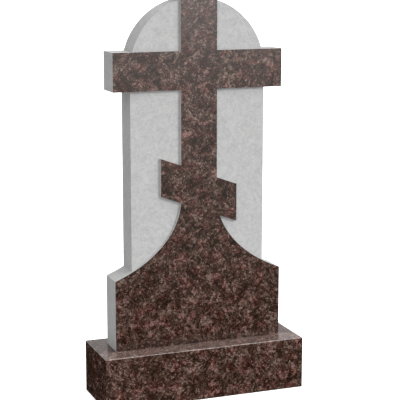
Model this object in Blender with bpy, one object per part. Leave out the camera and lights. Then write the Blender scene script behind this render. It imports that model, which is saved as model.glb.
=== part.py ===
# Cross headstone of red-brown granite: one carved stele standing on a plinth.
# The units are metres with +Z up. The front faces -Y, and the origin is at the
# centre of the plinth's underside.

import math

import bmesh
import bpy
from mathutils import Matrix

# Driving dimensions

PLINTH_WIDTH = 0.600
PLINTH_DEPTH = 0.200
PLINTH_HEIGHT = 0.150
ARRIS_WIDTH = 0.002          # narrow slanted flat along the plinth's top edges

SETBACK = 0.0615             # from the plinth's front face to the stele's
BED_GAP = 0.0003             # between the plinth's top and the stele

STELE_WIDTH = 0.500          # across the crossbar, and across the foot
STELE_HEIGHT = 1.000
STELE_THICKNESS = 0.085
RELIEF_DEPTH = 0.0085        # how far the cross and the foot stand out of the field

STEM_WIDTH = 0.107
CROSSBAR_HEIGHT = 0.1075
FOOTBAR_WIDTH = 0.2275       # level distance between the slanted bar's upright ends
FOOTBAR_HEIGHT = 0.1072      # upright distance between its slanted sides
FOOTBAR_DROP = 0.3384        # from the crossbar's middle down to the slanted bar's
FOOTBAR_SLOPE = math.radians(20.3)

FIELD_WIDTH = 0.398          # the slab behind the cross, with a half-round head
HEAD_DROP = 0.017            # from the stem's top down to the top of that head

SHOULDER_HEIGHT = 0.2025     # straight sides of the foot
SWEEP_RISE = 0.2225          # from a shoulder up to where the sweep meets the stem
SWEEP_TURN = math.radians(60)   # how much of an ellipse each sweep follows, from the stem

HEAD_SEGMENTS = 96
SWEEP_SEGMENTS = 40

# Places that follow from them

stele_front = SETBACK - PLINTH_DEPTH / 2
stele_back = stele_front + STELE_THICKNESS
stele_base = PLINTH_HEIGHT + BED_GAP
stele_top = stele_base + STELE_HEIGHT
field_front = stele_front + RELIEF_DEPTH
cross_height = stele_top - HEAD_DROP - FIELD_WIDTH / 2
footbar_height = cross_height - FOOTBAR_DROP
hidden_foot = stele_base + SHOULDER_HEIGHT / 2   # where joined shapes end inside the foot


def clear_scene():
    for obj in list(bpy.data.objects):
        bpy.data.objects.remove(obj, do_unlink=True)


def make_collection(name):
    collection = bpy.data.collections.new(name)
    bpy.context.scene.collection.children.link(collection)
    return collection


def make_material(name, color, roughness):
    material = bpy.data.materials.new(name)
    material.use_nodes = True
    shader = material.node_tree.nodes["Principled BSDF"]
    shader.inputs["Base Color"].default_value = (*color, 1.0)
    shader.inputs["Roughness"].default_value = roughness
    shader.inputs["Metallic"].default_value = 0.0
    material.diffuse_color = (*color, 1.0)
    return material


def make_box(name, collection, low, high):
    """An upright box between two opposite corners."""
    size = [b - a for a, b in zip(low, high)]
    centre = [(a + b) / 2 for a, b in zip(low, high)]
    mesh = bpy.data.meshes.new(name)
    shape = bmesh.new()
    bmesh.ops.create_cube(shape, size=1.0, matrix=Matrix.Diagonal((*size, 1.0)))
    shape.to_mesh(mesh)
    shape.free()
    box = bpy.data.objects.new(name, mesh)
    box.location = centre
    collection.objects.link(box)
    return box


def make_plate(name, collection, outline, front, back):
    """A flat plate facing the front, from an outline of (x, z) points."""
    curve = bpy.data.curves.new(name, "CURVE")
    curve.dimensions = "2D"
    curve.fill_mode = "BOTH"
    curve.extrude = (back - front) / 2
    spline = curve.splines.new("POLY")
    spline.points.add(len(outline) - 1)
    for point, (x, z) in zip(spline.points, outline):
        point.co = (x, z, 0.0, 1.0)
    spline.use_cyclic_u = True

    flat = bpy.data.objects.new(name + "_outline", curve)
    flat.rotation_euler = (math.pi / 2, 0.0, 0.0)
    flat.location = (0.0, (front + back) / 2, 0.0)
    collection.objects.link(flat)
    plate = curve_to_mesh(flat, name)
    collection.objects.link(plate)
    return plate


def curve_to_mesh(flat, name):
    """A mesh object in the curve's place, with its caps welded on."""
    bpy.context.view_layer.update()
    evaluated = flat.evaluated_get(bpy.context.evaluated_depsgraph_get())
    mesh = bpy.data.meshes.new_from_object(evaluated)
    mesh.name = name
    shape = bmesh.new()
    shape.from_mesh(mesh)
    bmesh.ops.remove_doubles(shape, verts=shape.verts, dist=0.00001)
    bmesh.ops.recalc_face_normals(shape, faces=shape.faces)
    shape.to_mesh(mesh)
    shape.free()
    plate = bpy.data.objects.new(name, mesh)
    plate.matrix_world = flat.matrix_world
    bpy.data.objects.remove(flat, do_unlink=True)
    return plate


def sweep_point(angle):
    """A point on the right shoulder's ellipse; angle 0 is where it leaves the stem."""
    across = (STELE_WIDTH - STEM_WIDTH) / 2 / (1 - math.cos(SWEEP_TURN))
    down = SWEEP_RISE / math.sin(SWEEP_TURN)
    x = STEM_WIDTH / 2 + across * (1 - math.cos(angle))
    z = stele_base + SHOULDER_HEIGHT + SWEEP_RISE - down * math.sin(angle)
    return x, z


def foot_outline():
    """The broad foot, whose shoulders sweep in and up to the stem."""
    steps = range(SWEEP_SEGMENTS + 1)
    right = [sweep_point(SWEEP_TURN * (1 - step / SWEEP_SEGMENTS)) for step in steps]
    left = [(-x, z) for x, z in reversed(right)]
    half = STELE_WIDTH / 2
    return [(-half, stele_base), (half, stele_base)] + right + left


def field_outline():
    """The ground-back slab, with a half-round head centred on the cross."""
    radius = FIELD_WIDTH / 2
    angles = [math.pi * step / HEAD_SEGMENTS for step in range(HEAD_SEGMENTS + 1)]
    head = [(radius * math.cos(a), cross_height + radius * math.sin(a)) for a in angles]
    return [(-radius, hidden_foot), (radius, hidden_foot)] + head


def footbar_outline():
    """The slanted low bar, higher at the viewer's left, with upright ends."""
    half = FOOTBAR_WIDTH / 2
    fall = half * math.tan(FOOTBAR_SLOPE)
    high = footbar_height + FOOTBAR_HEIGHT / 2
    low = footbar_height - FOOTBAR_HEIGHT / 2
    return [(-half, low + fall), (half, low - fall), (half, high - fall), (-half, high + fall)]


def cut_top_arris(mesh):
    """Takes the sharp edge off all round the top of a box's mesh."""
    shape = bmesh.new()
    shape.from_mesh(mesh)
    top_edges = [edge for edge in shape.edges if all(vert.co.z > 0 for vert in edge.verts)]
    bmesh.ops.bevel(shape, geom=top_edges, offset=ARRIS_WIDTH, segments=1, profile=0.5,
                    affect="EDGES")
    shape.to_mesh(mesh)
    shape.free()


def make_plinth(collection):
    plinth = make_box(
        "plinth", collection,
        (-PLINTH_WIDTH / 2, -PLINTH_DEPTH / 2, 0.0),
        (PLINTH_WIDTH / 2, PLINTH_DEPTH / 2, PLINTH_HEIGHT),
    )
    cut_top_arris(plinth.data)
    plinth.data.materials.append(make_material("plinth_granite", (0.085, 0.045, 0.037), 0.12))
    return plinth


def make_stele(collection, shapes):
    """The foot, joined with the cross, the slanted bar and the slab behind them."""
    stele = make_plate("stele", collection, foot_outline(), stele_front, stele_back)
    joined = [
        make_plate("field_shape", shapes, field_outline(), field_front, stele_back),
        make_plate("footbar_shape", shapes, footbar_outline(), stele_front,
                   (field_front + stele_back) / 2),
        make_box("stem_shape", shapes, (-STEM_WIDTH / 2, stele_front, hidden_foot),
                 (STEM_WIDTH / 2, stele_back, stele_top)),
        make_box("crossbar_shape", shapes,
                 (-STELE_WIDTH / 2, stele_front, cross_height - CROSSBAR_HEIGHT / 2),
                 (STELE_WIDTH / 2, stele_back, cross_height + CROSSBAR_HEIGHT / 2)),
    ]
    for shape in joined:
        shape.hide_render = True
        shape.display_type = "WIRE"
        union = stele.modifiers.new(shape.name, "BOOLEAN")
        union.operation = "UNION"
        union.solver = "EXACT"
        union.object = shape
    stele.data.materials.append(make_material("stele_granite", (0.120, 0.075, 0.066), 0.25))
    return stele


def main():
    clear_scene()
    headstone = make_collection("cross_headstone")
    shapes = make_collection("cross_headstone_shapes")
    make_plinth(headstone)
    make_stele(headstone, shapes)


main()
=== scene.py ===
import math

import bmesh
import bpy
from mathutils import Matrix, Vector


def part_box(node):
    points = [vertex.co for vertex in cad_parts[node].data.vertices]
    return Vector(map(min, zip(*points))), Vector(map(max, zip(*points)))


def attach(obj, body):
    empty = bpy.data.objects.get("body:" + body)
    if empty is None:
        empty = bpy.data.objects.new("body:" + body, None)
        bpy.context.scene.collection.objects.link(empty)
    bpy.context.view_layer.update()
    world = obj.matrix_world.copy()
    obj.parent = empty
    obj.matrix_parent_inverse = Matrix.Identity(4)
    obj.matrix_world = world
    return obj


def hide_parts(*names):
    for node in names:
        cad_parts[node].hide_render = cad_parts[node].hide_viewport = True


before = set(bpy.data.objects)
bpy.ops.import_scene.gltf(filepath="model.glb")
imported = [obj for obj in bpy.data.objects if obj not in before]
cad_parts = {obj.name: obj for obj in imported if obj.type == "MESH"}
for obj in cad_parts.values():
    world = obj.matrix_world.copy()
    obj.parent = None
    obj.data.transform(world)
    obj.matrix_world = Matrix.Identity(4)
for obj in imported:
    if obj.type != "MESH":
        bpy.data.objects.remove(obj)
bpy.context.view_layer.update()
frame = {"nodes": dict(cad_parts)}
print("frame loaded:", ", ".join(frame["nodes"]))


def startMaterial(name):
    material = bpy.data.materials.new(name)
    material.use_nodes = True
    tree = material.node_tree
    return material, tree, tree.nodes["Principled BSDF"]


def addNode(tree, kind, inputs=None, **settings):
    # inputs maps a socket's name or number to a value or to another node's output
    node = tree.nodes.new(kind)
    for key, value in settings.items():
        setattr(node, key, value)
    for key, value in (inputs or {}).items():
        if isinstance(value, bpy.types.NodeSocket):
            tree.links.new(value, node.inputs[key])
        else:
            node.inputs[key].default_value = value
    return node


def addMath(tree, operation, first, second):
    return addNode(tree, "ShaderNodeMath", {0: first, 1: second}, operation=operation).outputs[0]


def addSum(tree, parts):
    # parts is a list of (output, its share)
    scaled = [addMath(tree, "MULTIPLY", part, share) for part, share in parts]
    total = scaled[0]
    for part in scaled[1:]:
        total = addMath(tree, "ADD", total, part)
    return total


def addVectorMath(tree, operation, first, second):
    return addNode(tree, "ShaderNodeVectorMath", {0: first, 1: second}, operation=operation).outputs[0]


def pickAxis(tree, vector, axis):
    return addNode(tree, "ShaderNodeSeparateXYZ", {0: vector}).outputs[axis]


def addRange(tree, value, low, high, toLow=0.0, toHigh=1.0, kind="LINEAR"):
    return addNode(tree, "ShaderNodeMapRange", {
        "Value": value, "From Min": low, "From Max": high, "To Min": toLow, "To Max": toHigh},
        interpolation_type=kind).outputs[0]


def addBlend(tree, factor, first, second):
    return addNode(tree, "ShaderNodeMix", {0: factor, 2: first, 3: second}).outputs[0]


def addColourBlend(tree, factor, first, second, blend="MIX"):
    return addNode(tree, "ShaderNodeMix", {0: factor, 6: first, 7: second},
                   data_type="RGBA", blend_type=blend).outputs[2]


def addRamp(tree, factor, stops):
    # stops is a list of (place, colour), from 0 to 1
    node = addNode(tree, "ShaderNodeValToRGB", {"Fac": factor})
    elements = node.color_ramp.elements
    elements[0].position = stops[0][0]
    elements[1].position = stops[-1][0]
    for place, _ in stops[1:-1]:
        elements.new(place)
    for element, (_, colour) in zip(elements, stops):
        element.color = (*colour, 1.0)
    return node.outputs["Color"]


def addNoise(tree, place, scale, detail=2.0, roughness=0.5):
    return addNode(tree, "ShaderNodeTexNoise", {
        "Vector": place, "Scale": scale, "Detail": detail, "Roughness": roughness}).outputs


def addCells(tree, place, scale):
    # gives two random numbers for each cell
    cells = addNode(tree, "ShaderNodeTexVoronoi", {"Vector": place, "Scale": scale})
    numbers = addNode(tree, "ShaderNodeSeparateColor", {0: cells.outputs["Color"]})
    return numbers.outputs[0], numbers.outputs[1]


# the stone's figure, the same in every finish
# warp, clump and cloud are each a noise's scale, detail and roughness
granite = {
    "warp": (85.0, 3.0, 0.6), "warpReach": 0.0055,          # bends the crystals out of round
    "crystalScale": 130.0, "stretch": 1.9,                  # crystals of about 8 by 15 mm
    "leans": [(0.0, -0.6, 0.3), (0.3, 0.9, -0.4), (0.2, 0.1, 1.3)],     # the ways that they lie
    "patchScale": 48.0,                                     # patches of 20 mm where they lie one way
    "fleckScale": 350.0,                                    # grains of 3 mm between them
    "clump": (34.0, 4.0, 0.65), "clumpRange": (0.3, 0.7),   # clouds of 30 mm where one kind gathers
    # redder clouds, with a scale of their own so that they don't fall on the clumps
    "cloud": (29.0, 3.0, 0.6), "cloudRange": (0.35, 0.65),
    "crystalTone": 0.35, "fleckTone": 0.27, "clumpTone": 0.36,          # their shares of the tone
    "crystalHue": 0.12, "cloudHue": 0.88,                   # their shares of the hue
    "speckScale": 400.0, "speckRare": 0.93, "speckLift": 0.24,          # a few specks, light or dark
}


def graniteFigure(tree):
    # gives a tone from 0, dark mica, to 1, light feldspar, and a hue from grey-brown to red
    place = addNode(tree, "ShaderNodeTexCoord").outputs["Object"]
    warp = addNoise(tree, place, *granite["warp"])["Color"]
    centred = addVectorMath(tree, "SUBTRACT", warp, (0.5, 0.5, 0.5))
    bent = addVectorMath(tree, "MULTIPLY", centred, (granite["warpReach"],) * 3)
    moved = addVectorMath(tree, "ADD", place, bent)

    patch, _ = addCells(tree, moved, granite["patchScale"])
    for number, lean in enumerate(granite["leans"]):
        laid = addNode(tree, "ShaderNodeMapping", {
            "Vector": moved, "Rotation": lean, "Scale": (granite["stretch"], 1.0, 1.0)},
            vector_type="TEXTURE").outputs[0]
        leanTone, leanHue = addCells(tree, laid, granite["crystalScale"])
        if number == 0:
            crystalTone, crystalHue = leanTone, leanHue
        else:
            chosen = addMath(tree, "GREATER_THAN", patch, number / len(granite["leans"]))
            crystalTone = addBlend(tree, chosen, crystalTone, leanTone)
            crystalHue = addBlend(tree, chosen, crystalHue, leanHue)

    fleckTone, _ = addCells(tree, moved, granite["fleckScale"])
    clumps = addNoise(tree, place, *granite["clump"])[0]
    clumpTone = addRange(tree, clumps, *granite["clumpRange"])
    clouds = addNoise(tree, place, *granite["cloud"])[0]
    cloudHue = addRange(tree, clouds, *granite["cloudRange"])

    lightSpeck, darkSpeck = addCells(tree, laid, granite["speckScale"])
    light = addMath(tree, "GREATER_THAN", lightSpeck, granite["speckRare"])
    dark = addMath(tree, "GREATER_THAN", darkSpeck, granite["speckRare"])
    speckTone = addMath(tree, "SUBTRACT", light, dark)
    tone = addSum(tree, [
        (crystalTone, granite["crystalTone"]), (fleckTone, granite["fleckTone"]),
        (clumpTone, granite["clumpTone"]), (speckTone, granite["speckLift"])])
    hue = addSum(tree, [(crystalHue, granite["crystalHue"]), (cloudHue, granite["cloudHue"])])
    return place, tone, hue


# in each finish "rough" is for dark and for light grains, and the marks are what the tool leaves
evenMarks = (1.0, 1.0, 1.0)
polish = {
    # from black mica through red-brown to pale feldspar
    "tones": [(0.16, (0.0085, 0.0040, 0.0024)), (0.36, (0.022, 0.0108, 0.0072)),
              (0.50, (0.042, 0.0225, 0.0168)), (0.64, (0.076, 0.0445, 0.036)),
              (0.86, (0.205, 0.140, 0.126))],
    "tints": [(0.20, (0.965, 1.02, 0.955)), (0.50, (1.0, 0.99, 0.97)), (0.80, (1.16, 0.905, 0.89))],
    "rough": (0.11, 0.07),                      # mica takes a duller polish than feldspar
    "markScale": 700.0, "markRun": evenMarks, "markStrength": 0.3, "markDepth": 0.00003,
    # painted light: level stone in front of the stele is made paler, from its back line forward and most
    # on light grains, in place of the brighter light on the ledge's top
    "paintedLedgeLight": (0.44, 0.32, 0.29), "paintedLedgeLightAmount": (0.07, 0.33), "paintedLedgeLightLevel": 0.9,
    "paintedLedgeLightBack": -0.036, "paintedLedgeLightFront": -0.042,
}
# the field behind the cross, ground back and left matt
ground = {"dark": (0.317, 0.317, 0.316), "light": (0.40, 0.40, 0.399), "rough": (0.80, 0.70),
          "markScale": 900.0, "markRun": evenMarks, "markStrength": 0.5, "markDepth": 0.0004}
# the narrow walls round the relief, painted paler than the field to lift the shade that falls on them
# and beside them
paintedPaleWalls = {"dark": (0.41, 0.41, 0.409), "light": (0.50, 0.50, 0.499), "rough": (0.85, 0.75),
          "markScale": 900.0, "markRun": evenMarks, "markStrength": 0.5, "markDepth": 0.0004}
# the sides and the back; the saw's lines run along the stone, side by side through its thickness
sawn = {"dark": (0.335, 0.335, 0.333), "light": (0.41, 0.41, 0.408), "rough": (0.75, 0.65),
        "markScale": 500.0, "markRun": (0.02, 1.0, 0.02), "markStrength": 0.3, "markDepth": 0.0002}
# the slanted flat along the plinth's top edges
honed = {"dark": (0.09, 0.068, 0.062), "light": (0.30, 0.245, 0.23), "rough": (0.50, 0.40),
         "markScale": 700.0, "markRun": evenMarks, "markStrength": 0.3, "markDepth": 0.00006}
mattRange = (0.2, 0.8)      # the tones where a matt finish is at its darkest and its lightest


def addSurface(tree, shader, place, tone, finish):
    rough = addRange(tree, tone, 0.0, 1.0, *finish["rough"])
    tree.links.new(rough, shader.inputs["Roughness"])
    run = addNode(tree, "ShaderNodeMapping", {"Vector": place, "Scale": finish["markRun"]}).outputs[0]
    marks = addNoise(tree, run, finish["markScale"])[0]
    bump = addNode(tree, "ShaderNodeBump", {
        "Height": marks, "Strength": finish["markStrength"], "Distance": finish["markDepth"]})
    tree.links.new(bump.outputs[0], shader.inputs["Normal"])


def polishedGranite(name):
    material, tree, shader = startMaterial(name)
    place, tone, hue = graniteFigure(tree)
    tones = addRamp(tree, tone, polish["tones"])
    tints = addRamp(tree, hue, polish["tints"])
    stone = addColourBlend(tree, 1.0, tones, tints, blend="MULTIPLY")
    facing = addNode(tree, "ShaderNodeNewGeometry").outputs["Normal"]
    # painted light: the level ledge in front of the stele is blended towards a paler colour, standing in
    # for the light on its top
    level = addRange(tree, pickAxis(tree, facing, "Z"), polish["paintedLedgeLightLevel"], 1.0)
    ledge = addRange(tree, pickAxis(tree, place, "Y"), polish["paintedLedgeLightBack"], polish["paintedLedgeLightFront"])
    amount = addRange(tree, tone, 0.0, 1.0, *polish["paintedLedgeLightAmount"])
    paintedLedgeLight = addMath(tree, "MULTIPLY", addMath(tree, "MULTIPLY", level, ledge), amount)
    colour = addColourBlend(tree, paintedLedgeLight, stone, (*polish["paintedLedgeLight"], 1.0))
    tree.links.new(colour, shader.inputs["Base Color"])
    addSurface(tree, shader, place, tone, polish)
    return material


def mattGranite(name, finish):
    material, tree, shader = startMaterial(name)
    place, tone, _ = graniteFigure(tree)
    colour = addRamp(tree, tone, [(mattRange[0], finish["dark"]), (mattRange[1], finish["light"])])
    tree.links.new(colour, shader.inputs["Base Color"])
    addSurface(tree, shader, place, tone, finish)
    return material


finishes = {
    "polished": polishedGranite("polishedGranite"),
    "ground": mattGranite("groundGranite", ground),
    # paler stone for the relief's walls: painted light against their shade
    "paintedPaleWalls": mattGranite("paintedPaleWallGranite", paintedPaleWalls),
    "sawn": mattGranite("sawnGranite", sawn),
    "honed": mattGranite("honedGranite", honed),
}
finishOrder = list(finishes)
print("finishes made:", ", ".join(finishOrder))


# lengths are in metres and angles in degrees
meshLimits = {
    "weld": 0.00001,            # points that are closer become one
    "flatAngle": 0.4,           # faces that meet flatter become one
    "sharpAngle": 20.0,         # edges that are sharper are rounded
    "foldedAngle": 0.573,       # faces with a narrower corner are mended
    "noArea": 1e-12,            # and so are faces with less area
}


def mergedCopy(nodeName):
    # the solid's own form, with its loose triangles merged into whole faces
    shape = bmesh.new()
    shape.from_mesh(frame["nodes"][nodeName].data)
    bmesh.ops.remove_doubles(shape, verts=shape.verts, dist=meshLimits["weld"])
    bmesh.ops.dissolve_limit(shape, angle_limit=math.radians(meshLimits["flatAngle"]),
                             verts=shape.verts, edges=shape.edges)
    return shape


def softenEdges(shape, width, segments):
    least = math.radians(meshLimits["sharpAngle"])
    sharp = [edge for edge in shape.edges if edge.calc_face_angle(0.0) > least]
    bmesh.ops.bevel(shape, geom=sharp, offset=width, segments=segments, profile=0.5,
                    affect="EDGES", material=-1, clamp_overlap=True)
    mendCorners(shape)


def mendCorners(shape):
    # the inner corners come out with doubled points and with faces that fold back on themselves
    bmesh.ops.remove_doubles(shape, verts=shape.verts, dist=meshLimits["weld"])
    least = math.radians(meshLimits["foldedAngle"])
    folded = [face for face in shape.faces if min(loop.calc_angle() for loop in face.loops) < least]
    split = bmesh.ops.triangulate(shape, faces=folded, quad_method="SHORT_EDGE", ngon_method="BEAUTY")
    thin = [face for face in split["faces"] if face.calc_area() < meshLimits["noArea"]]
    longest = [max(face.edges, key=lambda edge: edge.calc_length()) for face in thin]
    bmesh.ops.dissolve_edges(shape, edges=longest)


def placePiece(name, shape, chooseFinish):
    for face in shape.faces:
        face.material_index = finishOrder.index(chooseFinish(face))
        face.smooth = True
    mesh = bpy.data.meshes.new(name)
    shape.to_mesh(mesh)
    shape.free()
    for finish in finishOrder:
        mesh.materials.append(finishes[finish])
    piece = bpy.data.objects.new(name, mesh)
    bpy.context.scene.collection.objects.link(piece)
    flatten = piece.modifiers.new("flatFaces", "WEIGHTED_NORMAL")   # the big faces stay flat
    flatten.mode = "FACE_AREA"
    return piece


stele = {
    "edge": 0.0006, "edgeSegments": 2,      # a slight rounding of every edge
    "relief": 0.0085,                       # from the cross's face back to the field
    "forward": -0.3,                        # a face that leans further forward takes the front's finish
}


def makeStele():
    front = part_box("stele")[0][1]
    field = front + stele["relief"]
    shape = mergedCopy("stele")
    softenEdges(shape, stele["edge"], stele["edgeSegments"])

    def steleFinish(face):
        y = face.calc_center_median().y
        forward = face.normal.y < stele["forward"]
        if forward and y < front + stele["edge"]:
            return "polished"
        if forward and y < field + stele["edge"]:
            return "ground"
        # the relief's walls take the paler stone: painted light against the shade in the recess
        return "paintedPaleWalls" if y < field else "sawn"

    piece = placePiece("steleStone", shape, steleFinish)
    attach(piece, "root")
    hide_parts("stele")
    print("stele made:", len(piece.data.polygons), "faces")


plinth = {
    "edge": 0.0006, "edgeSegments": 2,      # a slight rounding of every edge
    "arris": 0.002,                         # height of the slanted flat along the top edges
    "slant": (0.3, 0.9),                    # how far upwards its faces lean
}


def makePlinth():
    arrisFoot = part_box("plinth")[1][2] - plinth["arris"]
    shape = mergedCopy("plinth")
    softenEdges(shape, plinth["edge"], plinth["edgeSegments"])

    def plinthFinish(face):
        slanted = plinth["slant"][0] < face.normal.z < plinth["slant"][1]
        return "honed" if slanted and face.calc_center_median().z > arrisFoot else "polished"

    piece = placePiece("plinthStone", shape, plinthFinish)
    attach(piece, "root")
    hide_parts("plinth")
    print("plinth made:", len(piece.data.polygons), "faces")


makeStele()
makePlinth()


floor = {
    "size": 80.0, "gap": 0.0005,            # it lies just under the plinth
    "colour": (0.9, 0.9, 0.9), "roughness": 0.9,
    "glow": 0.55,                           # keeps it white, so that no shade shows on it
}


def makeFloor():
    shape = bmesh.new()
    bmesh.ops.create_grid(shape, x_segments=1, y_segments=1, size=floor["size"] / 2)
    bmesh.ops.translate(shape, verts=shape.verts, vec=(0.0, 0.0, -floor["gap"]))
    mesh = bpy.data.meshes.new("floor")
    shape.to_mesh(mesh)
    shape.free()
    sheet = bpy.data.objects.new("floor", mesh)
    bpy.context.scene.collection.objects.link(sheet)
    material, _, shader = startMaterial("paleFloor")
    shader.inputs["Base Color"].default_value = (*floor["colour"], 1.0)
    shader.inputs["Roughness"].default_value = floor["roughness"]
    shader.inputs["Specular IOR Level"].default_value = 0.0
    shader.inputs["Emission Color"].default_value = (1.0, 1.0, 1.0, 1.0)
    shader.inputs["Emission Strength"].default_value = floor["glow"]
    mesh.materials.append(material)
    sheet.visible_diffuse = False           # it neither lights the stone nor shows in the polish
    sheet.visible_glossy = False


room = {
    "backdrop": 1.0,                                # what the camera sees behind the stone
    "fill": 0.20,                                   # the light that reaches the stone from all round
    "mirrored": 0.68, "horizon": (-0.02, 0.10),     # what the polish mirrors, and where that fades in
    "mirrorDepth": 1.5,                             # first reflections alone show the soft panel
    "panelTurn": 21.0,                              # degrees from the front to the viewer's right
    "panelHalf": 6.0, "panelEdge": 19.0,            # degrees to either side, full and faded out
    "panelHeight": (-0.27, 0.28),                   # its foot and its top, 1 m away
    "panelSteps": [(0.0, 0.0), (0.145, 0.112), (0.24, 0.205), (0.33, 0.325), (0.46, 0.80), (1.0, 1.0)],
    "panelStrength": 3.9,
}


def addPanel(tree, direction, height):
    turn = math.radians(room["panelTurn"])
    half = math.radians(room["panelHalf"])
    edge = math.radians(room["panelEdge"])
    flat = addVectorMath(tree, "MULTIPLY", direction, (1.0, 1.0, 0.0))
    level = addNode(tree, "ShaderNodeVectorMath", {0: flat}, operation="NORMALIZE").outputs[0]
    nearness = addNode(tree, "ShaderNodeVectorMath", {
        0: level, 1: (math.sin(turn), -math.cos(turn), 0.0)}, operation="DOT_PRODUCT").outputs["Value"]
    across = addRange(tree, nearness, math.cos(edge), math.cos(half), kind="SMOOTHSTEP")
    up = addRange(tree, height, *room["panelHeight"])
    rise = addRamp(tree, up, [(place, (value,) * 3) for place, value in room["panelSteps"]])
    return addMath(tree, "MULTIPLY", addMath(tree, "MULTIPLY", rise, across), room["panelStrength"])


def makeRoom():
    world = bpy.data.worlds.new("room")
    bpy.context.scene.world = world
    world.use_nodes = True
    tree = world.node_tree
    tree.nodes.clear()
    direction = addNode(tree, "ShaderNodeTexCoord").outputs["Generated"]
    height = pickAxis(tree, direction, "Z")
    path = addNode(tree, "ShaderNodeLightPath").outputs
    first = addMath(tree, "LESS_THAN", path["Glossy Depth"], room["mirrorDepth"])
    panel = addMath(tree, "MULTIPLY", addPanel(tree, direction, height), first)
    above = addRange(tree, height, *room["horizon"], toHigh=room["mirrored"])
    mirrored = addMath(tree, "MAXIMUM", panel, above)
    strength = addBlend(tree, path["Is Glossy Ray"], room["fill"], mirrored)
    strength = addBlend(tree, path["Is Camera Ray"], strength, room["backdrop"])
    background = addNode(tree, "ShaderNodeBackground", {
        "Color": (1.0, 1.0, 1.0, 1.0), "Strength": strength}).outputs[0]
    addNode(tree, "ShaderNodeOutputWorld", {"Surface": background})
    world.cycles.sampling_method = "NONE"       # so even a room needs no aimed samples


# turn goes from the front to the viewer's right, and softness is the lamp's breadth, all in degrees
lamps = {
    "key": {"turn": 36.0, "rise": 30.0, "strength": 1.8, "softness": 10.0, "shadow": True},
    "overhead": {"turn": 60.0, "rise": 50.0, "strength": 1.0, "softness": 30.0, "shadow": True},
    "backFill": {"turn": 150.0, "rise": 35.0, "strength": 0.8, "softness": 60.0, "shadow": True},
    # broad lamps without shadow keep the corners as light as white walls all round would
    "leftWall": {"turn": -90.0, "rise": 0.0, "strength": 0.78, "softness": 120.0, "shadow": False},
    "frontWall": {"turn": 0.0, "rise": 0.0, "strength": 1.85, "softness": 120.0, "shadow": False},
    "rearWall": {"turn": 180.0, "rise": 0.0, "strength": 1.2, "softness": 120.0, "shadow": False},
    "ceiling": {"turn": 0.0, "rise": 90.0, "strength": 1.5, "softness": 120.0, "shadow": False},
}
lampDistance = 4.0      # clear of the stone; these lamps shine the same from any distance


def makeLamp(name, lamp):
    turn = math.radians(lamp["turn"])
    rise = math.radians(lamp["rise"])
    data = bpy.data.lights.new(name, "SUN")
    data.energy = lamp["strength"]
    data.angle = math.radians(lamp["softness"])
    data.use_shadow = lamp["shadow"]
    source = bpy.data.objects.new(name, data)
    source.visible_glossy = False
    towards = Vector((math.sin(turn) * math.cos(rise), -math.cos(turn) * math.cos(rise), math.sin(rise)))
    source.location = towards * lampDistance
    source.rotation_euler = towards.to_track_quat("Z", "Y").to_euler()
    bpy.context.scene.collection.objects.link(source)


# the focal length is in pixels of a picture that is frameWidth pixels wide
camera = {"place": (-1.2921, -3.4005, 1.2609), "turn": 21.06, "tilt": -10.89,
          "focal": 1300.0, "frameWidth": 400.0, "sensor": 36.0, "near": 0.05, "far": 200.0}


def makeCamera():
    data = bpy.data.cameras.new("camera")
    data.sensor_width = camera["sensor"]
    data.lens = camera["focal"] / camera["frameWidth"] * camera["sensor"]
    data.clip_start = camera["near"]
    data.clip_end = camera["far"]
    eye = bpy.data.objects.new("camera", data)
    eye.location = camera["place"]
    eye.rotation_euler = (math.radians(90.0 + camera["tilt"]), 0.0, -math.radians(camera["turn"]))
    bpy.context.scene.collection.objects.link(eye)
    bpy.context.scene.camera = eye


makeFloor()
makeRoom()
for name, lamp in lamps.items():
    makeLamp(name, lamp)
makeCamera()
bpy.context.scene.view_settings.view_transform = "Standard"
print("floor, light and camera made")
